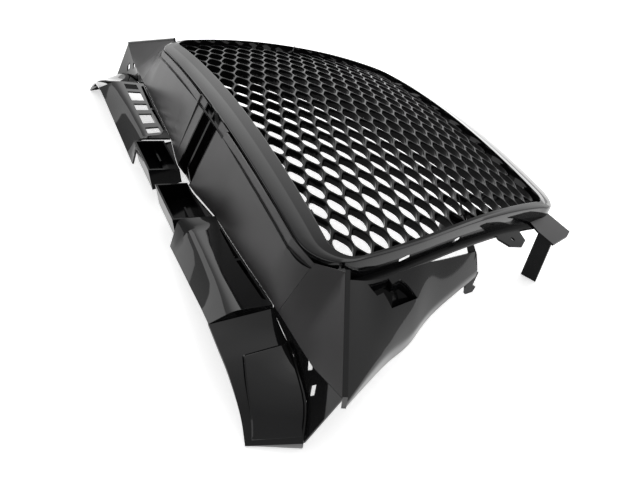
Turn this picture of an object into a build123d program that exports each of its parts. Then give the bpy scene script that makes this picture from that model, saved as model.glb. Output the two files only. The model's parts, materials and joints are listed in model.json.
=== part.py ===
from build123d import *
import math
import os

os.makedirs("parts", exist_ok=True)

# Front grille, gloss black, lying on its back. All sizes in millimetres.
# The pieces are laid out in the grille's own frame first: X across the car,
# Y from the bonnet edge down to the bumper edge, Z out of the front face.
# At the end the whole set is tilted so that its two feet and two legs stand level.

# Crown of the front face
CROSS_R = 1529.0          # bend across the car
CROWN_R = 1178.6          # bend from bonnet edge to bumper edge
CROWN_Y = -191.5          # centre of that bend
CROWN_Z = -1176.6

# Honeycomb insert
CELL_X = 29.84            # column spacing
CELL_Y = 25.0             # row spacing
WEB = 3.6                 # web thickness
FLAT = 0.40               # part of a column spacing taken by the flat edges
MESH_DEPTH = 14.0
SEAT = 2.0                # border of the insert tucked under the frame lip

# Surround frame
LIP = 8.5                 # lip height above the honeycomb
FRAME_BACK = 8.0          # frame depth behind the front of the honeycomb

# Skirt and rail below the frame
SKIRT_T = 2.2
SKIRT_DEPTH = 20.0
SIDE_START = -74.0        # where skirt and rail begin below the rounded corner
SEAM = 0.02               # skirt to frame
RAIL_T = 3.0
RAIL_OUT = 8.0
TAB_HOLE_R = 3.4

# Bonnet side cover
GAP = 4.0                 # shadow gap between frame and cover
GAP_MID = 1.6             # narrower in the middle
MID_HALF = 50.0
WALL_DROP = 8.0           # vertical thickness of steep walls
SHEET = 3.2               # vertical thickness of flat sheets
CHANNEL_HALF = 27.0       # half width of the latch channel
TRAY_DEPTH = 36.0

# Resting position
TILT = 12.8               # the frame leans back this far when it stands on the floor
FLOOR = -183.0            # floor height after the tilt


def lift(x, y):
    """Height of the crowned front face at a point."""
    along = CROWN_Z + math.sqrt(CROWN_R ** 2 - (y - CROWN_Y) ** 2)
    return math.sqrt((CROSS_R + along) ** 2 - x ** 2) - CROSS_R


def face_plane(x, y):
    """Plane square to the crowned front face."""
    slope_x = (lift(x - 1, y) - lift(x + 1, y)) / 2
    slope_y = (lift(x, y - 1) - lift(x, y + 1)) / 2
    return Plane(origin=(x, y, lift(x, y)), z_dir=(slope_x, slope_y, 1))


def crowned_slab(above, below):
    """A crowned layer between two heights measured square to the front face."""
    a0 = math.radians(91.5)
    a1 = math.radians(56.5)

    def arc(radius):
        points = []
        for step in range(9):
            angle = a0 + (a1 - a0) * step / 8
            points.append((0, CROWN_Y + radius * math.cos(angle),
                           CROWN_Z + radius * math.sin(angle)))
        return Spline(*points)

    top = arc(CROWN_R + above)
    low = arc(CROWN_R - below)
    face = Face(Wire([top, Line(top @ 1, low @ 1), low, Line(low @ 0, top @ 0)]))
    axis = Axis((0, 0, -CROSS_R), (0, 1, 0))
    start = face.rotate(axis, -15.0)
    return Solid.revolve(start, 30.0, axis)


def closed_face(half):
    """Mirror half an outline and fill it."""
    edges = list(half)
    edges += [edge.mirror(Plane.YZ) for edge in half]
    return Face(Wire(edges))


def outer_outline():
    half = [
        Line((0, -110), (246, -112)),
        ThreePointArc((246, -112), (284.5, -95), (299, -60)),
        ThreePointArc((299, -60), (297.33, -2.34), (291, 55)),
        Line((291, 55), (252, 312)),
        ThreePointArc((252, 312), (238, 352), (200, 375)),
        Line((200, 375), (0, 378)),
    ]
    return closed_face(half)


def inner_outline():
    half = [
        ThreePointArc((0, -74), (131, -76), (262, -81)),
        ThreePointArc((262, -81), (286, -72), (294, -46)),
        ThreePointArc((294, -46), (289.6, 21.3), (280, 88)),
        Line((280, 88), (240, 305)),
        ThreePointArc((240, 305), (233, 324), (214, 331)),
        Line((214, 331), (0, 332)),
    ]
    return closed_face(half)


def prism(face, low=-320.0, high=60.0):
    """Straight prism through the full height over a flat outline."""
    return Solid.extrude(face.moved(Location((0, 0, low))), Vector(0, 0, high - low))


def grown(face, amount):
    """The outline moved outwards."""
    return Face(face.outer_wire().offset_2d(amount))


def sheet(first, second, drop):
    """A sheet between two lines of points, thickened along a vector."""
    move = Vector(*drop)
    a = [Vector(*p) for p in first]
    b = [Vector(*p) for p in second]
    c = [p + move for p in a]
    d = [p + move for p in b]
    count = len(a)
    faces = []

    def add(p, q, r):
        faces.append(Face(Wire.make_polygon([p, q, r], close=True)))

    def quad(p, q, r, s):
        add(p, q, r)
        add(p, r, s)

    for i in range(count - 1):
        quad(a[i], a[i + 1], b[i + 1], b[i])
        quad(c[i], d[i], d[i + 1], c[i + 1])
        quad(a[i], c[i], c[i + 1], a[i + 1])
        quad(b[i], b[i + 1], d[i + 1], d[i])
    quad(a[0], b[0], d[0], c[0])
    quad(a[-1], c[-1], d[-1], b[-1])
    return Solid(Shell(faces))


def plan_cut(points, low=-320.0, high=60.0):
    """Cutter over a flat outline."""
    face = Face(Wire.make_polygon([(x, y, 0) for x, y in points], close=True))
    return prism(face, low, high)


def block(x0, x1, y0, y1, z0, z1):
    box = Solid.make_box(x1 - x0, y1 - y0, z1 - z0)
    return box.moved(Location((x0, y0, z0)))


def mesh_cell(x, y):
    """One flat topped hexagon of the honeycomb."""
    flat = FLAT * CELL_X / 2
    point = (1 - FLAT / 2) * CELL_X
    slant = math.hypot(point - flat, CELL_Y / 2)
    side = WEB / 2 * slant / (CELL_Y / 2)
    top = CELL_Y / 2 - WEB / 2
    tip = point - side
    edge = flat - side + (point - flat) * (WEB / 2) / (CELL_Y / 2)
    return [(x - tip, y), (x - edge, y + top), (x + edge, y + top),
            (x + tip, y), (x + edge, y - top), (x - edge, y - top)]


def mesh_insert(opening):
    """Crowned honeycomb with a narrow border."""
    outline = grown(opening, SEAT)
    cells = []
    for column in range(-11, 12):
        for row in range(-5, 17):
            x = column * CELL_X
            y = row * CELL_Y + (CELL_Y / 2 if column % 2 else 0.0)
            corners = mesh_cell(x, y)
            inside = [opening.is_inside(Vector(px, py, 0)) for px, py in corners]
            cell = Face(Wire.make_polygon([(px, py, 0) for px, py in corners], close=True))
            if all(inside):
                cells.append(cell)
            elif any(inside):
                cut = cell.intersect(opening)
                for piece in cut.faces() if cut else []:
                    if piece.area > 30:
                        cells.append(piece)
    plate = Face(outline.outer_wire(), [cell.outer_wire() for cell in cells])
    return prism(plate) & crowned_slab(0.0, MESH_DEPTH)


def surround_frame(outer, opening):
    """Rim with a lip over the edge of the honeycomb."""
    ring = prism(Face(outer.outer_wire(), [opening.outer_wire()]))
    body = ring & crowned_slab(LIP, FRAME_BACK)
    seat = prism(grown(opening, SEAT)) & crowned_slab(0.0, FRAME_BACK + 30)
    return body - seat


def side_skirt(outer):
    """Wall hanging below the side of the frame, with see-through slots."""
    band = prism(Face(outer.outer_wire(), [grown(outer, -SKIRT_T).outer_wire()]))
    wall = band & block(180, 330, SIDE_START, 318, -320, 60)
    wall = wall & crowned_slab(-FRAME_BACK - SEAM, SKIRT_DEPTH)
    for y, half in ((8, 9), (101, 8), (296, 7)):
        z = lift(285, y)
        wall = wall - block(230, 330, y - half, y + half, z - 18.5, z - 11)
    return wall.solids().sort_by(SortBy.VOLUME)[-1]


def side_rail(outer):
    """Narrow flange under the skirt with a hexagonal screw tab."""
    band = prism(Face(grown(outer, RAIL_OUT).outer_wire(), [grown(outer, -SKIRT_T).outer_wire()]))
    rail = band & block(180, 330, SIDE_START, 300, -320, 60)
    rail = rail & crowned_slab(-SKIRT_DEPTH, SKIRT_DEPTH + RAIL_T)
    tab = plan_cut([(266, 188), (284, 184), (297, 196), (299, 222), (289, 240), (262, 246)])
    tab = tab - prism(grown(outer, RAIL_OUT - 3))
    tab = tab & crowned_slab(-SKIRT_DEPTH, SKIRT_DEPTH + RAIL_T)
    rail = rail + tab
    drill = face_plane(290, 221).offset(-SKIRT_DEPTH - 15)
    rail = rail - Solid.make_cylinder(TAB_HOLE_R, 30, drill)
    return rail.solids().sort_by(SortBy.VOLUME)[-1]


def wall_top(x):
    """Upper edge of the cover wall beside the shadow gap."""
    gap = GAP_MID if x < MID_HALF else GAP
    return (x, -111.4 - gap, lift(x, -114) + 5.0)


def cover_wall():
    """Steep wall of the bonnet side cover."""
    top = []
    foot = []
    for x, y, z in ((27, -168, -86), (49.9, -165, -86.5), (50, -165, -86.5), (75, -161, -87),
                    (100, -157, -88), (150, -155.5, -86), (200, -154, -84), (246, -152, -82)):
        top.append(wall_top(x))
        foot.append((x, y, z))
    top.append((281, -106, -27))
    foot.append((286, -151, -80))
    return sheet(top, foot, (0, 0, -WALL_DROP))


def bar_along_x(profile, x0, x1):
    """Straight piece with a constant outline in the fore and aft plane."""
    face = Face(Wire.make_polygon([(x0, y, z) for y, z in profile], close=True))
    return Solid.extrude(face, Vector(x1 - x0, 0, 0))


def latch_channel():
    """Recess in the middle of the cover that lets the bonnet catch through."""
    cheek = sheet([(CHANNEL_HALF, -113.2, 3.5), (CHANNEL_HALF, -168, -86)],
                  [(CHANNEL_HALF, -113.2, -18), (CHANNEL_HALF, -160, -106)], (-2.4, 0, 0))
    half = CHANNEL_HALF - 2.4
    floor = sheet([(-half, -113.2, -12), (-half, -160, -100)],
                  [(half, -113.2, -12), (half, -160, -100)], (0, 0, -5))
    return cheek + cheek.mirror(Plane.YZ) + floor


def latch_rib():
    """Fin down the middle of the latch recess."""
    return bar_along_x([(-113.6, 3), (-160, -74), (-160, -100), (-113.6, -12.75)], -2.0, 2.0)


def latch_tray():
    """Open tray beside the latch opening."""
    tray = bar_along_x([(-212, -75), (-168.2, -87), (-168.2, -75 - TRAY_DEPTH),
                        (-212, -75 - TRAY_DEPTH)], 17.5, 97.5)
    bottom = -75 - TRAY_DEPTH + 2.6
    hollow = block(20, 95, -209.4, -170.8, bottom, -60)
    rib = block(58, 95, -187, -184.6, bottom, bottom + 14)
    web = plan_cut([(27.4, -169), (97.4, -169), (97.4, -157.6), (75, -161.2), (50, -165.2),
                    (27.4, -168.1)], -98, -91)
    return tray - hollow + rib + web


SHELF_FOOT = [(100, -157, -87), (116, -156.5, -88), (150, -155.5, -86.5), (200, -154, -84.5),
              (246, -152, -82), (272, -151.4, -80.7)]
SHELF_EDGE = [(100, -205, -74), (116, -197, -82), (150, -197, -79), (200, -197, -74),
              (246, -197, -69), (272, -197, -66)]


def shelf():
    """Raised shelf outside the cover wall, closed at its outer end."""
    top = sheet(SHELF_FOOT, SHELF_EDGE, (0, 0, -SHEET))
    end = bar_along_x([(-151.4, -80.7), (-197, -66), (-197, -92), (-151.4, -92)], 272, 275)
    return top + end


SLOTS = [[(127, -158.6), (188, -157.6), (188, -162.8), (127, -160.4)],
         [(192, -157.5), (266, -155), (262, -159.5), (192, -163)]]
TROUGH_DEPTH = 18.0       # closed trough under each slot
TROUGH_WALL = 1.6


def slot_panel():
    """Shelf with one long tapered slot split by a rib, closed underneath."""
    body = shelf()
    outside = sheet(SHELF_FOOT, SHELF_EDGE, (0, 0, -TROUGH_DEPTH))
    inside = sheet(SHELF_FOOT, SHELF_EDGE, (0, 0, TROUGH_WALL - TROUGH_DEPTH))
    for points in SLOTS:
        hole = Face(Wire.make_polygon([(x, y, 0) for x, y in points], close=True))
        body = body - prism(hole)
        trough = outside & prism(grown(hole, TROUGH_WALL))
        body = body + (trough - (inside & prism(hole)))
    return body


def slot_ladder():
    """Shelf with the slot and a row of five windows."""
    body = slot_panel()
    for x0, x1 in ((121, 137), (149, 176), (187, 206), (216, 243), (251, 267)):
        body = body - plan_cut([(x0, -166), (x1, -166), (x1, -186), (x0, -186)])
    return body


def outer_strip():
    """Sloping outer strip of the cover."""
    edge = [(92, -222, -119), (116, -222.5, -112), (150, -223, -104), (200, -224, -92),
            (246, -225, -79), (275, -226, -72)]
    inner = [(100, -205, -74)] + SHELF_EDGE[1:5] + [(275, -197, -66.5)]
    return sheet(inner, edge, (0, 0, -SHEET - 1.5))


def foot_pad():
    """Raised pad on top of the foot."""
    inner = [(327, -156, -99.5), (378, -166.5, -106), (407, -184, -126)]
    outer = [(308, -200, -95.5), (352, -217, -109), (384.5, -227, -127.5)]
    return sheet(inner, outer, (0, 0, -7.5))


def corner_foot(pad):
    """Foot plate of the outer corner with a turned down toe."""
    inner = [(275, -152, -86), (300, -152.5, -97), (329, -152.5, -105),
             (381, -163, -111.5), (411, -181, -131)]
    outer = [(275, -226, -72), (300, -226, -79), (330, -226, -90),
             (365, -229, -112), (387, -234, -131)]
    plate = sheet(inner, outer, (0, 0, -5))
    toe = sheet([(411, -181, -131), (387, -234, -131)],
                [(409, -182, -160), (385, -233, -152)], (-5, 2, 0))
    return plate + toe - pad


def corner_panel():
    """Facets that close the corner between cover wall, rib and foot."""
    face = sheet([(281, -106, -27), (294, -93, -27), (306, -81, -27), (414, -143, -68)],
                 [(286, -151, -80), (310, -150, -81), (335, -149, -82), (363, -148, -83)],
                 (0, 0, -WALL_DROP))
    side = sheet([(275.5, -151, -80.5), (335, -149, -82), (363, -148, -83), (414, -143, -68)],
                 [(275.5, -152.4, -87), (329, -152.4, -105), (381, -162.9, -111.5),
                  (411, -180.9, -131)], (0, 3, -1))
    panel = face + side
    for x, z, w, h in ((359, -82, 6.5, 8.5), (380, -95, 5.5, 8.5)):
        cut = Face(Wire.make_polygon([(x - w, -110, z), (x, -110, z + h),
                                      (x + w, -110, z), (x, -110, z - h)], close=True))
        panel = panel - Solid.extrude(cut, Vector(0, -80, 0))
    return panel


def corner_rib():
    """Upright rib that runs from the frame corner down to the foot."""
    return sheet([(306, -81, -24), (414, -143, -65)],
                 [(308.5, -76.7, -24), (416.5, -138.7, -65)], (0, 0, -22))


PAN_DEPTH = 13.0          # pan under the opening of the wing
PAN_WALL = 2.4

WING_TOP = [(308.5, -76.7, -40), (307, -45, -58), (305.5, -10, -64), (301.5, 30, -71),
            (297, 72, -87), (290, 140, -109)]
WING_EDGE = [(416.5, -138.7, -79), (392, -94, -91), (372, -54, -107), (354, -8, -126),
             (330, 45, -130), (303, 140, -136)]
WING_OPENING = [(311, -52), (309, -22), (315, -20), (312, -6), (317, 2), (327, 14),
                (336, -32), (321, -36), (323, -46)]


def side_wing(rail):
    """Flared wing beside the frame, with a turned lip and a stepped opening."""
    wing = sheet(WING_TOP, WING_EDGE, (0, 0, -4))
    inner = []
    for top, edge in zip(WING_TOP, WING_EDGE):
        span = Vector(*top) - Vector(*edge)
        inner.append(tuple(Vector(*edge) + span * (3.0 / span.length)))
    lip = sheet(inner, WING_EDGE, (0, 0, -11))
    wing = wing + lip - rail
    return wing - plan_cut(WING_OPENING)


def wing_pan(others):
    """Closed pan under the opening of the wing."""
    top = [(x, y, z - 4) for x, y, z in WING_TOP]
    edge = [(x, y, z - 4) for x, y, z in WING_EDGE]
    hole = Face(Wire.make_polygon([(x, y, 0) for x, y in WING_OPENING], close=True))
    pan = sheet(top, edge, (0, 0, -PAN_DEPTH)) & prism(grown(hole, PAN_WALL))
    pan = pan - (sheet(top, edge, (0, 0, PAN_WALL - PAN_DEPTH)) & prism(hole))
    for other in others:
        pan = pan - other
    return pan.solids().sort_by(SortBy.VOLUME)[-1]


def wing_hook(wing):
    """Snap hook under the tail of the wing."""
    hook = bar_along_x([(126, -138), (143, -140), (141, -166), (149, -173), (146, -183),
                        (132, -181), (128, -166)], 299.5, 303.0)
    return (hook - wing).solids().sort_by(SortBy.VOLUME)[-1]


def lower_bracket(others):
    """Ear on the lower corner with a leg that reaches the floor."""
    ear = sheet([(243.6, 338.6, -150.4), (283.5, 355.2, -164.7), (290.1, 342.3, -163.6)],
                [(254.9, 287.4, -141.9), (272.9, 289.4, -147.2), (298.5, 299.8, -156.4)],
                (0, 0, -3.6))
    leg = sheet([(268, 299, -149.5), (268, 306, -275)],
                [(290, 309, -157.5), (291, 318, -275)], (-3.5, 8, 0))
    body = ear + leg
    for other in others:
        body = body - other
    return body.solids().sort_by(SortBy.VOLUME)[-1]


def lower_skirt(outer):
    """Wall below the bumper edge of the frame."""
    band = prism(Face(outer.outer_wire(), [grown(outer, -SKIRT_T).outer_wire()]))
    wall = band & block(-300, 300, 318, 400, -320, 60)
    return wall & crowned_slab(-FRAME_BACK, SKIRT_DEPTH)


def cover_root(outer, others):
    """Web under the shadow gap that ties the cover to the frame."""
    band = prism(Face(grown(outer, 10).outer_wire(), [outer.outer_wire()]))
    web = band & block(-320, 320, -140, -84, -320, 60)
    web = web & crowned_slab(-4, FRAME_BACK)
    for other in others:
        web = web - other
    return web.solids().sort_by(SortBy.VOLUME)[-1]


def clip_boss():
    """Hollow boss on the back of the honeycomb."""
    ring = Solid.make_cylinder(13, 300).moved(Location((256, 112, -250)))
    ring = ring - Solid.make_cylinder(8, 300).moved(Location((256, 112, -250)))
    return ring & crowned_slab(-MESH_DEPTH, MESH_DEPTH + 24)


def insert_clips(frame, mesh):
    """Small clips behind the frame that hold the honeycomb in its seat."""
    clips = []
    for x in (-210, -70, 70, 210):
        for y0, y1 in ((-95, -68), (326, 350)):
            clip = block(x - 7, x + 7, y0, y1, -320, 60)
            clip = clip & crowned_slab(-FRAME_BACK, MESH_DEPTH + 3)
            clips.append((clip - mesh).solids().sort_by(SortBy.VOLUME)[-1])
    return clips


def both(pieces, name, solid):
    """Keep a piece and its mirror image."""
    pieces[name + "_right"] = solid
    pieces[name + "_left"] = solid.mirror(Plane.YZ)


def build():
    pieces = {}
    outer = outer_outline()
    opening = inner_outline()
    frame = surround_frame(outer, opening)
    mesh = mesh_insert(opening)
    skirt = side_skirt(outer)
    rail = side_rail(outer)
    wall = cover_wall()
    panel = corner_panel()
    pad = foot_pad()
    foot = corner_foot(pad) - panel
    wing = side_wing(rail)
    pieces["surround_frame"] = frame
    pieces["mesh_insert"] = mesh
    pieces["lower_skirt"] = lower_skirt(outer)
    pieces["latch_channel"] = latch_channel()
    pieces["latch_rib"] = latch_rib()
    pieces["clip_boss"] = clip_boss()
    pieces["insert_clips"] = Compound(children=insert_clips(frame, mesh))
    both(pieces, "side_skirt", skirt)
    both(pieces, "side_rail", rail - skirt)
    both(pieces, "cover_wall", wall)
    both(pieces, "corner_panel", panel - wall)
    both(pieces, "corner_rib", corner_rib() - panel)
    both(pieces, "foot_pad", pad)
    both(pieces, "corner_foot", foot)
    both(pieces, "side_wing", wing)
    both(pieces, "wing_pan", wing_pan([wing, skirt, rail]))
    both(pieces, "wing_hook", wing_hook(wing))
    both(pieces, "latch_tray", latch_tray() - wall)
    both(pieces, "outer_strip", outer_strip() - latch_tray())
    both(pieces, "lower_bracket", lower_bracket([frame, skirt, rail, pieces["lower_skirt"]]))
    pieces["slot_panel_right"] = slot_panel() - wall
    pieces["slot_ladder_left"] = (slot_ladder() - wall).mirror(Plane.YZ)
    walls = [wall, wall.mirror(Plane.YZ), panel, panel.mirror(Plane.YZ),
             pieces["latch_channel"], pieces["latch_rib"]]
    pieces["cover_root"] = cover_root(outer, walls)
    return pieces


def stand_on_floor(pieces):
    """Tilt everything onto the floor and put the origin under the middle."""
    placed = {name: piece.moved(Rot(TILT, 0, 0)) for name, piece in pieces.items()}
    low = min(piece.bounding_box().min.Y for piece in placed.values())
    high = max(piece.bounding_box().max.Y for piece in placed.values())
    shift = Pos(0, -(low + high) / 2, -FLOOR)
    above = block(-600, 600, -600, 600, 0, 600)
    result = {}
    for name, piece in placed.items():
        piece = piece.moved(shift)
        if name.startswith(("corner_foot", "lower_bracket")):
            piece = piece & above
        result[name] = piece
    return result


for part_name, shape in stand_on_floor(build()).items():
    export_step(shape, "parts/" + part_name + ".step")
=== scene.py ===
import json
import math

import bmesh
import bpy
from mathutils import Matrix, Vector


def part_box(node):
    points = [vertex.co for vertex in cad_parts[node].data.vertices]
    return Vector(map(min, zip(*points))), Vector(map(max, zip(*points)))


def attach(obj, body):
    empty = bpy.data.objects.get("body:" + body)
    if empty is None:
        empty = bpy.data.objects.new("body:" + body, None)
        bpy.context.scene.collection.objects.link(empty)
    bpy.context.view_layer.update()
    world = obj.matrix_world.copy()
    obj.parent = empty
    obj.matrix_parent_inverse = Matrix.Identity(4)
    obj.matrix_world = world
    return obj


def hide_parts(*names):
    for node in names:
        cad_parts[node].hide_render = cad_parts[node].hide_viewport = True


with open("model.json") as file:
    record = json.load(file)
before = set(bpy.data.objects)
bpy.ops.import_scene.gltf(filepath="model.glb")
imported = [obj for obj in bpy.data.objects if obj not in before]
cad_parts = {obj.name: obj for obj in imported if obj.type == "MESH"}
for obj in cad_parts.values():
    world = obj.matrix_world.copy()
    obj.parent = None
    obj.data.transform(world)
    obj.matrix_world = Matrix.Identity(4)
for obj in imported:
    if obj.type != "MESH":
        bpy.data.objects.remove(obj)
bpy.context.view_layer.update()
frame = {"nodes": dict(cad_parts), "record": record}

MM = 0.001


# ---------------------------------------------------------------- camera

CAM_PLACE = (0.60983, -0.47483, 0.49004)
CAM_HEADING = 140.1166          # direction of view, degrees from +X
CAM_DOWN = 36.9454              # how far it looks down
CAM_ROLL = 17.7331
CAM_LENS = 29.299


def make_camera():
    data = bpy.data.cameras.new("camera")
    data.lens = CAM_LENS
    data.sensor_width = 36.0
    data.clip_start = 0.01
    camera = bpy.data.objects.new("camera", data)
    heading = math.radians(CAM_HEADING)
    down = math.radians(CAM_DOWN)
    view = Vector((math.cos(heading) * math.cos(down), math.sin(heading) * math.cos(down),
                   -math.sin(down)))
    turn = view.to_track_quat("-Z", "Y").to_matrix()
    camera.rotation_euler = (turn @ Matrix.Rotation(math.radians(CAM_ROLL), 3, "Z")).to_euler()
    camera.location = CAM_PLACE
    bpy.context.scene.collection.objects.link(camera)
    bpy.context.scene.camera = camera


make_camera()


# ---------------------------------------------------------------- the grille's own frame

TILT = math.radians(12.8)       # the grille leans back this far on the floor
COS, SIN = math.cos(TILT), math.sin(TILT)
FIN = [(-113.6, 3.0), (-160.0, -74.0), (-160.0, -100.0), (-113.6, -12.75)]
fin_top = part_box("latch_rib")[1]
SHIFT_Y = fin_top.y / MM - max(y * COS - z * SIN for y, z in FIN)
SHIFT_Z = fin_top.z / MM - max(y * SIN + z * COS for y, z in FIN)

CROSS_R = 1529.0                # crown of the face across the car
CROWN_R = 1178.6                # crown of the face from bonnet to bumper
CROWN_Y = -191.5
CROWN_Z = -1176.6
CELL_X = 29.84                  # pitch of the honeycomb's columns
CELL_Y = 25.0                   # pitch of its rows
FLAT = 0.40                     # flat part of a cell's long edges, of the column pitch
MESH_DEPTH = 12.0
SEAT = 2.0                      # border of the honeycomb tucked under the rim
LIP = 8.5                       # height of the rim over the honeycomb
FRAME_BACK = 8.0
GAP = 4.0                       # shadow gap between rim and cover wall
GAP_MID = 1.6                   # the same gap at the catch


def place(point):
    """A point of the grille's own frame, in metres in the row frame."""
    x, y, z = point
    return Vector((x, y * COS - z * SIN + SHIFT_Y, y * SIN + z * COS + SHIFT_Z)) * MM


def lift(x, y, raised=0.0):
    """Height of the crowned front face, raised square to it."""
    ridge = CROWN_Z + math.sqrt((CROWN_R + raised) ** 2 - (y - CROWN_Y) ** 2)
    return math.sqrt((CROSS_R + ridge) ** 2 - x ** 2) - CROSS_R


# ---------------------------------------------------------------- materials

FLOOR_GLOW = 0.6                # keeps the paper white between the lights


def shader(name):
    material = bpy.data.materials.new(name)
    material.use_nodes = True
    nodes = material.node_tree.nodes
    return material, nodes, material.node_tree.links, nodes["Principled BSDF"]


def plastic(name, colour, rough, ripple, ripple_scale, ior, dust=0.03):
    """Moulded black plastic with a polished skin, faint flow ripple and fine dust."""
    material, nodes, links, skin = shader(name)
    where = nodes.new("ShaderNodeTexCoord")
    flow = nodes.new("ShaderNodeTexNoise")
    flow.inputs["Scale"].default_value = ripple_scale
    flow.inputs["Detail"].default_value = 2.0
    fine = nodes.new("ShaderNodeTexNoise")
    fine.inputs["Scale"].default_value = 900.0
    fine.inputs["Detail"].default_value = 3.0
    links.new(where.outputs["Object"], flow.inputs["Vector"])
    links.new(where.outputs["Object"], fine.inputs["Vector"])
    tone = nodes.new("ShaderNodeValToRGB")
    tone.color_ramp.elements[0].position = 0.35
    tone.color_ramp.elements[0].color = (colour[0] * 0.8, colour[1] * 0.8, colour[2] * 0.8, 1)
    tone.color_ramp.elements[1].position = 0.75
    tone.color_ramp.elements[1].color = (colour[0] * 1.3, colour[1] * 1.3, colour[2] * 1.35, 1)
    links.new(flow.outputs["Fac"], tone.inputs["Fac"])
    links.new(tone.outputs["Color"], skin.inputs["Base Color"])
    sheen = nodes.new("ShaderNodeMapRange")
    sheen.inputs["From Min"].default_value = 0.3
    sheen.inputs["From Max"].default_value = 0.8
    sheen.inputs["To Min"].default_value = rough
    sheen.inputs["To Max"].default_value = rough + dust
    links.new(fine.outputs["Fac"], sheen.inputs["Value"])
    links.new(sheen.outputs["Result"], skin.inputs["Roughness"])
    bump = nodes.new("ShaderNodeBump")
    bump.inputs["Strength"].default_value = ripple
    bump.inputs["Distance"].default_value = 0.0003
    links.new(flow.outputs["Fac"], bump.inputs["Height"])
    links.new(bump.outputs["Normal"], skin.inputs["Normal"])
    skin.inputs["IOR"].default_value = ior
    return material


def floor_material():
    """Pale paper with a slight glow of its own."""
    material, nodes, links, skin = shader("paper_floor")
    where = nodes.new("ShaderNodeTexCoord")
    grain = nodes.new("ShaderNodeTexNoise")
    grain.inputs["Scale"].default_value = 300.0
    links.new(where.outputs["Object"], grain.inputs["Vector"])
    tone = nodes.new("ShaderNodeValToRGB")
    tone.color_ramp.elements[0].color = (0.88, 0.88, 0.88, 1)
    tone.color_ramp.elements[1].color = (0.93, 0.93, 0.93, 1)
    links.new(grain.outputs["Fac"], tone.inputs["Fac"])
    links.new(tone.outputs["Color"], skin.inputs["Base Color"])
    skin.inputs["Roughness"].default_value = 0.6
    skin.inputs["Specular IOR Level"].default_value = 0.2
    skin.inputs["Emission Color"].default_value = (1.0, 1.0, 1.0, 1)
    skin.inputs["Emission Strength"].default_value = FLOOR_GLOW
    return material


GLOSS = plastic("gloss_black", (0.004, 0.004, 0.0042), 0.04, 0.06, 14.0, 1.40)
MESH = plastic("mesh_black", (0.003, 0.003, 0.0032), 0.10, 0.05, 60.0, 1.21)
MOULDED = plastic("moulded_black", (0.003, 0.003, 0.0032), 0.12, 0.08, 40.0, 1.17)
CLIP = plastic("clip_black", (0.005, 0.005, 0.0052), 0.34, 0.2, 120.0, 1.3)
# a rougher copy of the gloss with a five times lighter colour: the lighter colour is painted
# light, standing in for the bright studio these faces reflect
HAZE_PAINTED_LIGHT = plastic("gloss_black_haze_painted_light", (0.020, 0.019, 0.0195), 0.34, 0.06, 14.0, 1.46)
BY_SLOT = {"gloss_black": GLOSS, "mesh_black": MESH,
           "moulded_black": MOULDED, "clip_black": CLIP}
slots = {part["node"]: part["material_slot"] for part in frame["record"]["subparts"]}


def dress(piece, material):
    piece.data.materials.clear()
    piece.data.materials.append(material)


# ---------------------------------------------------------------- building helpers

def arc(a, b, c, count):
    """Points on the circle through three plan points, without the last one."""
    ax, ay = a
    bx, by = b
    cx, cy = c
    d = 2 * (ax * (by - cy) + bx * (cy - ay) + cx * (ay - by))
    qa, qb, qc = ax * ax + ay * ay, bx * bx + by * by, cx * cx + cy * cy
    ox = (qa * (by - cy) + qb * (cy - ay) + qc * (ay - by)) / d
    oy = (qa * (cx - bx) + qb * (ax - cx) + qc * (bx - ax)) / d
    radius = math.hypot(ax - ox, ay - oy)
    start = math.atan2(ay - oy, ax - ox)
    end = math.atan2(cy - oy, cx - ox)
    turn = (end - start + math.pi) % (2 * math.pi) - math.pi
    return [(ox + radius * math.cos(start + turn * i / count),
             oy + radius * math.sin(start + turn * i / count)) for i in range(count)]


def line(a, b, count):
    """Points on a straight stretch, without the last one."""
    return [(a[0] + (b[0] - a[0]) * i / count, a[1] + (b[1] - a[1]) * i / count)
            for i in range(count)]


SPANS = (16, 12, 12, 18, 12, 16)   # points in each stretch of the rim's outlines


def outer_line():
    """Plan outline of the outer edge of the rim."""
    half = line((0, -110), (246, -112), SPANS[0])
    half += arc((246, -112), (284.5, -95), (299, -60), SPANS[1])
    half += arc((299, -60), (297.33, -2.34), (291, 55), SPANS[2])
    half += line((291, 55), (252, 312), SPANS[3])
    half += arc((252, 312), (238, 352), (200, 375), SPANS[4])
    half += line((200, 375), (0, 378), SPANS[5]) + [(0, 378)]
    return half + [(-x, y) for x, y in half[-2:0:-1]]


def inner_line():
    """Plan outline of the opening of the rim."""
    half = arc((0, -74), (131, -76), (262, -81), SPANS[0])
    half += arc((262, -81), (286, -72), (294, -46), SPANS[1])
    half += arc((294, -46), (289.6, 21.3), (280, 88), SPANS[2])
    half += line((280, 88), (240, 305), SPANS[3])
    half += arc((240, 305), (233, 324), (214, 331), SPANS[4])
    half += line((214, 331), (0, 332), SPANS[5]) + [(0, 332)]
    return half + [(-x, y) for x, y in half[-2:0:-1]]


def moved_out(loop, amount):
    """A closed plan loop moved outwards."""
    result = []
    count = len(loop)
    for i, (x, y) in enumerate(loop):
        px, py = loop[i - 1]
        nx, ny = loop[(i + 1) % count]
        dx, dy = nx - px, ny - py
        size = math.hypot(dx, dy)
        result.append((x + dy / size * amount, y - dx / size * amount))
    return result


def new_piece(name, form, material, bevel=0.7, angle=35, sharp=30):
    """Turn a bmesh in metres into a named piece on the root body."""
    bmesh.ops.remove_doubles(form, verts=form.verts, dist=1e-6)
    for face in form.faces:
        face.smooth = True
    for edge in form.edges:
        if len(edge.link_faces) == 2 and edge.calc_face_angle(0) > math.radians(sharp):
            edge.smooth = False
    mesh = bpy.data.meshes.new(name)
    form.to_mesh(mesh)
    form.free()
    piece = bpy.data.objects.new(name, mesh)
    bpy.context.scene.collection.objects.link(piece)
    dress(piece, material)
    if bevel:
        add_bevel(piece, bevel, angle)
    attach(piece, "root")
    return piece


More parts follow.
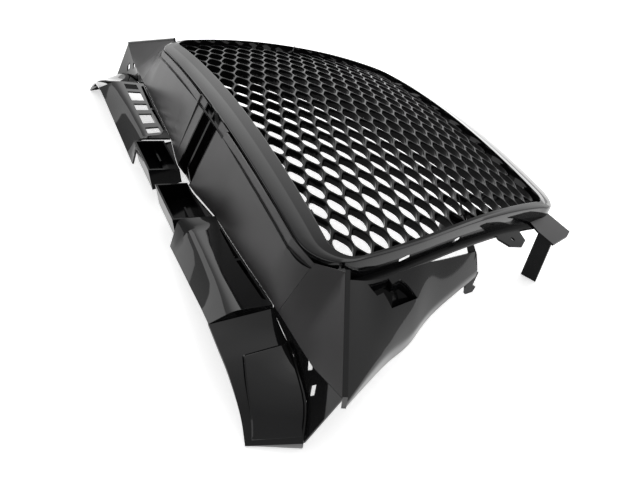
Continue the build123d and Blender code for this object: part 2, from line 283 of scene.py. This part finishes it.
def add_bevel(piece, width, angle=35, segments=3):
    bevel = piece.modifiers.new("edge", "BEVEL")
    bevel.width = width * MM
    bevel.segments = segments
    bevel.limit_method = "ANGLE"
    bevel.angle_limit = math.radians(angle)
    bevel.harden_normals = True


def sweep(form, stations):
    """Closed solid through a closed ring of closed profiles."""
    rings = [[form.verts.new(point) for point in station] for station in stations]
    count = len(rings[0])
    for i, ring in enumerate(rings):
        other = rings[(i + 1) % len(rings)]
        for k in range(count):
            n = (k + 1) % count
            form.faces.new((ring[k], other[k], other[n], ring[n]))


# ---------------------------------------------------------------- rim

RIM_NARROW = 12.0               # a rim as narrow as this has no step
RIM_SPREAD = 18.0               # the step is whole when the rim is wider by this
RIM_ROUND = 14.0                # roundings shrink on a rim narrower than this
RIM_STEP = 2.2                  # the outer band lies this far below the inner one
RIM_SPLIT = 0.42                # where the inner band ends, of the width


def rim():
    """Rim with a flat outer band, an inner band that rises to the opening, rounded edges."""
    stations = []
    for (ox, oy), (ix, iy) in zip(outer_line(), inner_line()):
        width = math.hypot(ox - ix, oy - iy)
        ux, uy = (ox - ix) / width, (oy - iy) / width
        wide = min(1.0, max(0.0, (width - RIM_NARROW) / RIM_SPREAD))
        s = min(1.0, width / RIM_ROUND)
        ridge = width * RIM_SPLIT
        flat = LIP - RIM_STEP * wide
        profile = [(0, 0.0), (0, LIP - 0.9), (0.25 * s, LIP - 0.3), (0.8 * s, LIP - 0.05),
                   (1.4 * s, LIP - 0.1 * wide), (ridge - 0.7 * s, flat + 0.08 * wide),
                   (ridge, flat), (ridge + 0.7 * s, flat), (width - 2.2 * s, flat - 0.1),
                   (width - 1.2 * s, flat - 0.4), (width - 0.4 * s, flat - 1.1),
                   (width, flat - 2.2), (width, -FRAME_BACK), (SEAT, -FRAME_BACK), (SEAT, 0.0)]
        station = []
        for d, h in profile:
            x, y = ix + ux * d, iy + uy * d
            station.append(place((x, y, lift(x, y, h))))
        stations.append(station)
    form = bmesh.new()
    sweep(form, stations)
    bmesh.ops.recalc_face_normals(form, faces=form.faces)
    piece = new_piece("rim", form, GLOSS, bevel=0)
    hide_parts("surround_frame")


# ---------------------------------------------------------------- honeycomb

COLUMNS = range(-11, 12)
ROWS = range(-5, 17)
EDGE_STEPS = 4
ROUND = 0.30                    # part of each cell edge taken by a rounded corner


def hexagon(x, y, inset):
    """Corners of a cell's outline, moved in by the inset."""
    flat = FLAT * CELL_X / 2
    point = (1 - FLAT / 2) * CELL_X
    slant = math.hypot(point - flat, CELL_Y / 2)
    top = CELL_Y / 2 - inset
    tip = point - inset * slant / (CELL_Y / 2)
    edge = tip - (point - flat) * top / (CELL_Y / 2)
    return [Vector((x + tip, y)), Vector((x + edge, y + top)), Vector((x - edge, y + top)),
            Vector((x - tip, y)), Vector((x - edge, y - top)), Vector((x + edge, y - top))]


def cell_loop(x, y, inset, rounded):
    """Points along a cell outline. Rounded corners are quadratic curves."""
    corners = hexagon(x, y, inset)
    loop = []
    for i in range(6):
        a, b = corners[i], corners[(i + 1) % 6]
        before, after = corners[i - 1], corners[(i + 2) % 6]
        for k in range(EDGE_STEPS):
            s = k / EDGE_STEPS
            if not rounded:
                loop.append(a.lerp(b, s))
                continue
            if s < ROUND:
                start, corner, end = a.lerp(before, ROUND), a, a.lerp(b, ROUND)
                t = 0.5 + 0.5 * s / ROUND
            elif s > 1 - ROUND:
                start, corner, end = b.lerp(a, ROUND), b, b.lerp(after, ROUND)
                t = 0.5 * (s - 1 + ROUND) / ROUND
            else:
                loop.append(a.lerp(b, s))
                continue
            loop.append(start.lerp(corner, t).lerp(corner.lerp(end, t), t))
    return loop


# inset from the cell edge, height over the face, and whether the corners are rounded
WEB_PROFILE = [(0.0, 0.0, False), (0.8, -0.12, True), (1.35, -0.5, True), (1.6, -1.3, True),
               (1.4, -MESH_DEPTH, True), (0.0, -MESH_DEPTH, False)]


def inside(loop, x, y):
    """Whether a plan point lies within a closed loop."""
    hit = False
    for (ax, ay), (bx, by) in zip(loop, loop[1:] + loop[:1]):
        if (ay > y) != (by > y) and x < ax + (bx - ax) * (y - ay) / (by - ay):
            hit = not hit
    return hit


def honeycomb():
    """Crowned honeycomb with rounded cells and webs, trimmed to the rim."""
    reach = moved_out(inner_line(), SEAT - 0.1)
    form = bmesh.new()
    open_edges = {}
    for column in COLUMNS:
        for row in ROWS:
            x = column * CELL_X
            y = row * CELL_Y + (CELL_Y / 2 if column % 2 else 0.0)
            if not any(inside(reach, p.x, p.y) for p in cell_loop(x, y, -1.0, False)):
                continue
            rings = []
            for inset, h, rounded in WEB_PROFILE:
                loop = cell_loop(x, y, inset, rounded)
                rings.append([form.verts.new(place((p.x, p.y, lift(p.x, p.y, h))))
                              for p in loop])
            count = len(rings[0])
            plan = [(round(p.x, 2), round(p.y, 2)) for p in cell_loop(x, y, 0.0, False)]
            for a, b in zip(rings, rings[1:]):
                for k in range(count):
                    n = (k + 1) % count
                    form.faces.new((a[k], a[n], b[n], b[k]))
            for k in range(count):
                n = (k + 1) % count
                key = frozenset((plan[k], plan[n]))
                if key in open_edges:
                    del open_edges[key]
                else:
                    open_edges[key] = (rings[0][k], rings[0][n], rings[-1][n], rings[-1][k])
    for corners in open_edges.values():
        form.faces.new(corners)
    bmesh.ops.remove_doubles(form, verts=form.verts, dist=1e-5)
    bmesh.ops.recalc_face_normals(form, faces=form.faces)
    piece = new_piece("honeycomb", form, MESH, bevel=0, sharp=50)
    trim(piece, reach, "INTERSECT")
    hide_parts("mesh_insert")
    return piece


def carve(piece, first, second, operation):
    """Keep or cut what lies in the straight prism between two loops of points."""
    form = bmesh.new()
    bottom = [form.verts.new(point) for point in first]
    top = [form.verts.new(point) for point in second]
    form.faces.new(bottom)
    form.faces.new(top)
    for i in range(len(bottom)):
        n = (i + 1) % len(bottom)
        form.faces.new((bottom[i], bottom[n], top[n], top[i]))
    bmesh.ops.recalc_face_normals(form, faces=form.faces)
    mesh = bpy.data.meshes.new("cutter")
    form.to_mesh(mesh)
    form.free()
    cutter = bpy.data.objects.new("cutter", mesh)
    bpy.context.scene.collection.objects.link(cutter)
    cut = piece.modifiers.new("trim", "BOOLEAN")
    cut.operation = operation
    cut.solver = "EXACT"
    cut.object = cutter
    settle(piece)
    bpy.data.objects.remove(cutter)


def trim(piece, loop, operation, low=-260.0, high=60.0):
    """Keep or cut what lies over a plan outline."""
    carve(piece, [place((x, y, low)) for x, y in loop],
          [place((x, y, high)) for x, y in loop], operation)


def settle(piece):
    """Apply every modifier on a piece."""
    bpy.context.view_layer.update()
    graph = bpy.context.evaluated_depsgraph_get()
    mesh = bpy.data.meshes.new_from_object(piece.evaluated_get(graph))
    piece.modifiers.clear()
    piece.data = mesh


# ---------------------------------------------------------------- smooth sheets

def along(points, steps, smooth):
    """A line of points made finer, by straight pieces or a smooth curve."""
    pts = [Vector(p) for p in points]
    result = []
    for i in range(len(pts) - 1):
        p1, p2 = pts[i], pts[i + 1]
        p0 = pts[i - 1] if i > 0 else p1 * 2 - p2
        p3 = pts[i + 2] if i + 2 < len(pts) else p2 * 2 - p1
        for k in range(steps):
            t = k / steps
            if smooth:
                m1, m2 = (p2 - p0) / 2, (p3 - p1) / 2
                result.append(p1 * (2 * t ** 3 - 3 * t * t + 1) + m1 * (t ** 3 - 2 * t * t + t)
                              + p2 * (3 * t * t - 2 * t ** 3) + m2 * (t ** 3 - t * t))
            else:
                result.append(p1.lerp(p2, t))
    return result + [pts[-1]]


def loft(lines, steps=8, across=8, smooth=True):
    """Grid of points: each line made finer, then straight between lines."""
    fine = [along(points, steps, smooth) for points in lines]
    grid = []
    for a, b in zip(fine, fine[1:]):
        for k in range(across):
            grid.append([p.lerp(q, k / across) for p, q in zip(a, b)])
    grid.append(fine[-1])
    return grid


def skin(name, grid, thick, material, nodes, flip=1, bevel=0.7, sharp=30, cuts=(),
         up=(0, 0, 1)):
    """Sheet of even thickness under a grid of points, for one side (flip is 1 or -1)."""
    form = bmesh.new()
    rows = [[form.verts.new(place((p[0] * flip, p[1], p[2]))) for p in row] for row in grid]
    for a, b in zip(rows, rows[1:]):
        for k in range(len(a) - 1):
            form.faces.new((a[k], a[k + 1], b[k + 1], b[k]))
    form.normal_update()
    total = Vector((0, 0, 0))
    for face in form.faces:
        total += face.normal * face.calc_area()
    if total.dot(Vector((up[0] * flip, up[1], up[2]))) < 0:
        bmesh.ops.reverse_faces(form, faces=form.faces)
    piece = new_piece(name, form, material, bevel=0, sharp=sharp)
    solid = piece.modifiers.new("thick", "SOLIDIFY")
    solid.thickness = thick * MM
    solid.offset = -1
    solid.use_even_offset = True
    settle(piece)
    for loop in cuts:
        trim(piece, [(x * flip, y) for x, y in loop], "DIFFERENCE")
    add_bevel(piece, bevel)
    for node in nodes:
        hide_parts(node)
    return piece


def wall_top(x):
    """Top edge of the cover wall, beside the shadow gap."""
    gap = GAP_MID if x < 50 else GAP
    return (x, -111.4 - gap, lift(x, -114) + 5.0)


SHELF_FOOT = [(100, -157, -87), (116, -156.5, -88), (150, -155.5, -86.5), (200, -154, -84.5),
              (246, -152, -82), (274, -151.4, -80.7), (275, -151.4, -91)]
SHELF_EDGE = [(100, -205, -74), (116, -197, -82), (150, -197, -79), (200, -197, -74),
              (246, -197, -69), (274, -197, -66), (275, -197, -90)]
STRIP_EDGE = [(100, -222.2, -116.5), (116, -222.5, -112), (150, -223, -104), (200, -224, -92),
              (246, -225, -79), (274, -226, -72.5), (275, -226, -76)]
BEND = 9.0                      # reach of the rounded bend between shelf and strip
WINDOWS = ((121, 137), (149, 176), (187, 206), (216, 243), (251, 267))
WINDOW_TOP = -166
WINDOW_LOW = -186
SLOTS = [[(127, -158.6), (188, -157.6), (188, -162.8), (127, -160.4)],
         [(192, -157.5), (266, -155), (262, -159.5), (192, -163)]]
WING_TOP = [(308.5, -76.7, -40), (307, -45, -58), (305.5, -10, -64), (301.5, 30, -71),
            (297, 72, -87), (290, 140, -109)]
WING_EDGE = [(416.5, -138.7, -79), (392, -94, -91), (372, -54, -107), (354, -8, -126),
             (330, 45, -130), (303, 140, -136)]
WING_DROP = (5.0, 18.0, 22.0, 20.0, 15.0, 11.0)   # how deep the turned lip hangs
WING_OPENING = [(311, -52), (309, -22), (315, -20), (312, -6), (317, 2), (327, 14),
                (336, -32), (321, -36), (323, -46)]
WING_ROWS = (0.0, 0.12, 0.3, 0.5, 0.7, 0.85, 0.93)
# how far back from the edge each row of the roll lies, and its share of the drop
WING_ROLL = ((2.6, 0.01), (1.1, 0.08), (0.3, 0.2), (0.0, 0.36), (0.0, 1.0))
FOOT_INNER = [(275, -152, -86), (300, -152.5, -97), (329, -152.5, -105),
              (381, -163, -111.5), (411, -181, -131)]
FOOT_OUTER = [(275, -226, -72), (300, -226, -79), (330, -226, -90),
              (365, -229, -112), (387, -234, -131)]
# how far out each row of the toe lies, and its share of the way to the floor
TOE_ROLL = ((0.6, 0.06), (0.4, 0.3), (0.0, 0.65), (-1.0, 1.0))
FLOOR_Z = -SHIFT_Z
TOE_CLEAR = 0.3                 # the toe ends this far above the floor
# along the plate, and how far out the pad reaches there
PAD_EDGE = [(1.55, 0.70), (2.58, 0.82), (3.85, 0.87)]
PAD_INSET = 0.02                # the pad starts this share in from the plate's inner edge
PAD_CHAMFER = 0.035             # share of the pad taken by its chamfer
PAD_MOVE = (0.8, -1.0)
PAD_LOW = 2.3                   # height of the foot of the chamfer
PAD_HIGH = 3.9
DIAMONDS = ((359, -85, 6.0, 8.0), (380, -97, 5.5, 8.5))   # x, z, half width, half height
DIAMOND_CUT = (-190, -110)      # from and to, in y
# how far each ring of a dark trough grows from its slot, and its height from the shelf; the
# troughs are painted shade under the slots
SHADE_TROUGH_RINGS = ((1.5, -2.6), (1.5, -16.0), (-0.2, -14.4), (-0.2, -2.6))


def cover_wall(side, flip):
    """Wall that falls from the shadow gap to the shelf."""
    top = [wall_top(x) for x in (27, 49.9, 50, 75, 100, 150, 200, 246)] + [(281, -106, -27)]
    foot = [(27, -168, -86), (49.9, -165, -86.5), (50, -165, -86.5), (75, -161, -87),
            (100, -157, -88), (150, -155.5, -86), (200, -154, -84), (246, -152, -82),
            (286, -151, -80)]
    grid = loft([top, foot], 6, 10, smooth=False)
    # the wall gets the hazy gloss, whose lighter colour is painted light
    return skin("cover_wall_skin_" + side, grid, 1.8, HAZE_PAINTED_LIGHT, ["cover_wall_" + side], flip,
                up=(0, -0.5, 1), sharp=12)


def shelf(side, flip, windows):
    """Shelf and outer strip as one moulding with a rounded bend between them."""
    bend = []
    for t in (0.0, 0.2, 0.4, 0.6, 0.8, 1.0):
        row = []
        for f, e, s in zip(SHELF_FOOT, SHELF_EDGE, STRIP_EDGE):
            f, e, s = Vector(f), Vector(e), Vector(s)
            a = e + (f - e).normalized() * BEND
            b = e + (s - e).normalized() * BEND
            row.append(a.lerp(e, t).lerp(e.lerp(b, t), t))
        bend.append(row)
    grid = loft([SHELF_FOOT, bend[0]], 4, 6, smooth=False)[:-1]
    for row in bend[:-1]:
        grid.append(along(row, 4, False))
    grid += loft([bend[-1], STRIP_EDGE], 4, 4, smooth=False)
    cuts = list(SLOTS)
    names = ["slot_panel_right", "outer_strip_right"]
    if windows:
        names = ["slot_ladder_left", "outer_strip_left"]
        for x0, x1 in WINDOWS:
            cuts.append([(x0, WINDOW_TOP), (x1, WINDOW_TOP), (x1, WINDOW_LOW), (x0, WINDOW_LOW)])
    return skin("shelf_" + side, grid, 2.8, GLOSS, names, flip, cuts=cuts, sharp=25)


def wing(side, flip):
    """Flared wing that rolls over into a turned lip."""
    rows = []
    for t in WING_ROWS:
        rows.append([Vector(a).lerp(Vector(b), t) for a, b in zip(WING_TOP, WING_EDGE)])
    for back, share in WING_ROLL:
        row = []
        for a, b, drop in zip(WING_TOP, WING_EDGE, WING_DROP):
            a, b = Vector(a), Vector(b)
            row.append(b + (a - b).normalized() * back + Vector((0, 0, -drop * share)))
        rows.append(row)
    grid = [along(row, 8, True) for row in rows]
    return skin("wing_" + side, grid, 2.2, GLOSS, ["side_wing_" + side], flip,
                cuts=[WING_OPENING], sharp=40)


def pad(side, flip):
    """Raised pad on the foot plate with a chamfer all round."""
    steps = 20
    inner = along(FOOT_INNER, steps, True)
    outer = along(FOOT_OUTER, steps, True)
    reach = along([(u, v, 0) for u, v in PAD_EDGE], 50, True)
    shares = [0.0, PAD_CHAMFER] + [k / 10 for k in range(1, 10)] + [1.0 - PAD_CHAMFER, 1.0]
    grid = []
    for across in shares:
        row = []
        for share in shares:
            u, v, _ = reach[round(share * (len(reach) - 1))]
            i = min(int(u * steps), len(inner) - 2)
            a = inner[i].lerp(inner[i + 1], u * steps - i)
            b = outer[i].lerp(outer[i + 1], u * steps - i)
            edge = across in (0.0, 1.0) or share in (0.0, 1.0)
            row.append(a.lerp(b, PAD_INSET + (v - PAD_INSET) * across)
                       + Vector((*PAD_MOVE, PAD_LOW if edge else PAD_HIGH)))
        grid.append(row)
    return skin("pad_" + side, grid, 3.0, GLOSS, ["foot_pad_" + side], flip, bevel=0.5, sharp=18)


def foot(side, flip):
    """Foot plate that rolls over into the toe standing on the floor."""
    grid = loft([FOOT_INNER, FOOT_OUTER], 6, 8)
    toe = []
    for t in range(9):
        t /= 8
        x, y, z = Vector(FOOT_INNER[-1]).lerp(Vector(FOOT_OUTER[-1]), t)
        toe.append((x, y, z))
    for row, (x, y, z) in zip(grid, toe):
        low = (FLOOR_Z + TOE_CLEAR - (y * SIN)) / COS
        for out, share in TOE_ROLL:
            row.append(Vector((x + out, y, z + (low - z) * share)))
    return skin("foot_" + side, grid, 3.0, GLOSS, ["corner_foot_" + side], flip, sharp=35)


def corner(side, flip):
    """Facets that close the corner between cover wall, rib and foot."""
    face = loft([[(281, -106, -27), (294, -93, -27), (306, -81, -27), (414, -143, -68)],
                 [(286, -151, -80), (310, -150, -81), (335, -149, -82), (363, -148, -83)]],
                6, 8, smooth=False)
    # the corner face gets the hazy gloss, whose lighter colour is painted light
    skin("corner_face_" + side, face, 2.4, HAZE_PAINTED_LIGHT, ["corner_panel_" + side], flip,
         up=(0, -0.5, 1), sharp=30)
    grid = loft([[(275.5, -151, -80.5), (335, -149, -82), (363, -148, -83), (414, -143, -68)],
                 [(275.5, -152.4, -87), (329, -152.4, -105), (381, -162.9, -111.5),
                  (411, -180.9, -131)]], 6, 6, smooth=False)
    piece = skin("corner_side_" + side, grid, 2.2, GLOSS, [], flip, up=(0.3, -1, 0.3), sharp=30,
                 bevel=0)
    start, end = DIAMOND_CUT
    for x, z, w, h in DIAMONDS:
        shape = [(x - w, z), (x, z + h), (x + w, z), (x, z - h)]
        carve(piece, [place((px * flip, start, pz)) for px, pz in shape],
              [place((px * flip, end, pz)) for px, pz in shape], "DIFFERENCE")
    add_bevel(piece, 0.7)


def shade_trough(side, flip, number):
    """Dark trough under a slot of the shelf: painted shade, a dark piece put where the slot
    shows only shadow beneath.
    """
    loop = SLOTS[number]
    mid = (sum(x for x, y in loop) / 4, sum(y for x, y in loop) / 4)
    form = bmesh.new()
    rings = []
    for grow, z in SHADE_TROUGH_RINGS:
        ring = []
        for x, y in loop:
            x += math.copysign(grow, x - mid[0])
            y += math.copysign(grow, y - mid[1])
            ring.append(form.verts.new(place((x * flip, y, shelf_height(x, y) + z))))
        rings.append(ring)
    for a, b in ((0, 1), (2, 3), (3, 0)):
        for k in range(4):
            n = (k + 1) % 4
            form.faces.new((rings[a][k], rings[a][n], rings[b][n], rings[b][k]))
    form.faces.new(rings[1])
    form.faces.new(rings[2])
    bmesh.ops.recalc_face_normals(form, faces=form.faces)
    piece = new_piece("trough_%s_%d" % (side, number), form, MOULDED, bevel=0.3)


def shelf_height(x, y):
    """Height of the shelf's top at a plan point."""
    for i in range(len(SHELF_FOOT) - 1):
        if x <= SHELF_FOOT[i + 1][0]:
            break
    t = (x - SHELF_FOOT[i][0]) / (SHELF_FOOT[i + 1][0] - SHELF_FOOT[i][0])
    foot = Vector(SHELF_FOOT[i]).lerp(Vector(SHELF_FOOT[i + 1]), t)
    edge = Vector(SHELF_EDGE[i]).lerp(Vector(SHELF_EDGE[i + 1]), t)
    return foot.z + (edge.z - foot.z) * (y - foot.y) / (edge.y - foot.y)


rim()
honeycomb()
for side, flip in (("right", 1), ("left", -1)):
    cover_wall(side, flip)
    shelf(side, flip, side == "left")
    wing(side, flip)
    pad(side, flip)
    foot(side, flip)
    corner(side, flip)
    # dark troughs under the slots: painted shade
    shade_trough(side, flip, 0)
    shade_trough(side, flip, 1)

FACES_UP = 0.6                  # faces of the brackets that look up more than this get the lighter hazy gloss: painted light where the tops face the overhead light
NODE_BEVEL = 0.6

replaced = {"surround_frame", "mesh_insert", "slot_panel_right", "slot_ladder_left"}
for side in ("right", "left"):
    replaced |= {"cover_wall_" + side, "outer_strip_" + side, "side_wing_" + side,
                 "foot_pad_" + side, "corner_foot_" + side, "corner_panel_" + side}
for node, piece in frame["nodes"].items():
    dress(piece, BY_SLOT[slots[node]])
    # painted light: faces of the lower brackets that look up get the lighter hazy gloss, the
    # rest keep the plain gloss
    if node.startswith("lower_bracket"):
        piece.data.materials.append(HAZE_PAINTED_LIGHT)
        for face in piece.data.polygons:
            face.material_index = 1 if face.normal.z > FACES_UP else 0
    if node not in replaced:
        add_bevel(piece, NODE_BEVEL, segments=2)


# ---------------------------------------------------------------- floor and light

BRIGHT_SIDE = (-0.60, 0.50, 0.625)   # the studio is brightest this way, behind the grille
DARKEST, BRIGHTEST = 0.17, 1.0
STUDIO_LEVELS = ((0.5, 0.25), (0.7, 0.30), (0.82, 0.42), (0.92, 0.78))   # between those two
STUDIO_STRENGTH = 3.0
FLOOR_REACH = 9.0


def make_floor():
    """Wide pale floor under the grille."""
    mesh = bpy.data.meshes.new("floor")
    form = bmesh.new()
    bmesh.ops.create_grid(form, x_segments=8, y_segments=8, size=FLOOR_REACH)
    form.to_mesh(mesh)
    form.free()
    floor = bpy.data.objects.new("floor", mesh)
    bpy.context.scene.collection.objects.link(floor)
    dress(floor, floor_material())


def area_light(name, place, target, size_x, size_y, power):
    data = bpy.data.lights.new(name, "AREA")
    data.shape = "RECTANGLE"
    data.size = size_x
    data.size_y = size_y
    data.energy = power
    light = bpy.data.objects.new(name, data)
    light.location = place
    aim = Vector(target) - Vector(place)
    light.rotation_euler = aim.to_track_quat("-Z", "Y").to_euler()
    bpy.context.scene.collection.objects.link(light)


def make_light():
    """Soft studio that is brighter on one side, with one area light."""
    world = bpy.data.worlds.new("studio")
    bpy.context.scene.world = world
    world.use_nodes = True
    nodes = world.node_tree.nodes
    links = world.node_tree.links
    back = nodes["Background"]
    where = nodes.new("ShaderNodeTexCoord")
    toward = nodes.new("ShaderNodeVectorMath")
    toward.operation = "DOT_PRODUCT"
    toward.inputs[1].default_value = BRIGHT_SIDE
    ramp = nodes.new("ShaderNodeValToRGB")
    links.new(where.outputs["Generated"], toward.inputs[0])
    links.new(toward.outputs["Value"], ramp.inputs["Fac"])
    links.new(ramp.outputs["Color"], back.inputs["Color"])
    points = ramp.color_ramp.elements
    points[0].position = 0.0
    points[0].color = (DARKEST, DARKEST, DARKEST, 1)
    points[1].position = 1.0
    points[1].color = (BRIGHTEST, BRIGHTEST, BRIGHTEST, 1)
    for position, level in STUDIO_LEVELS:
        point = points.new(position)
        point.color = (level, level, level, 1)
    back.inputs["Strength"].default_value = STUDIO_STRENGTH
    area_light("side_soft", (-2.3, -1.6, 1.4), (0, -0.25, 0.05), 2.6, 1.0, 14)


make_floor()
make_light()
bpy.context.scene.view_settings.view_transform = "Standard"
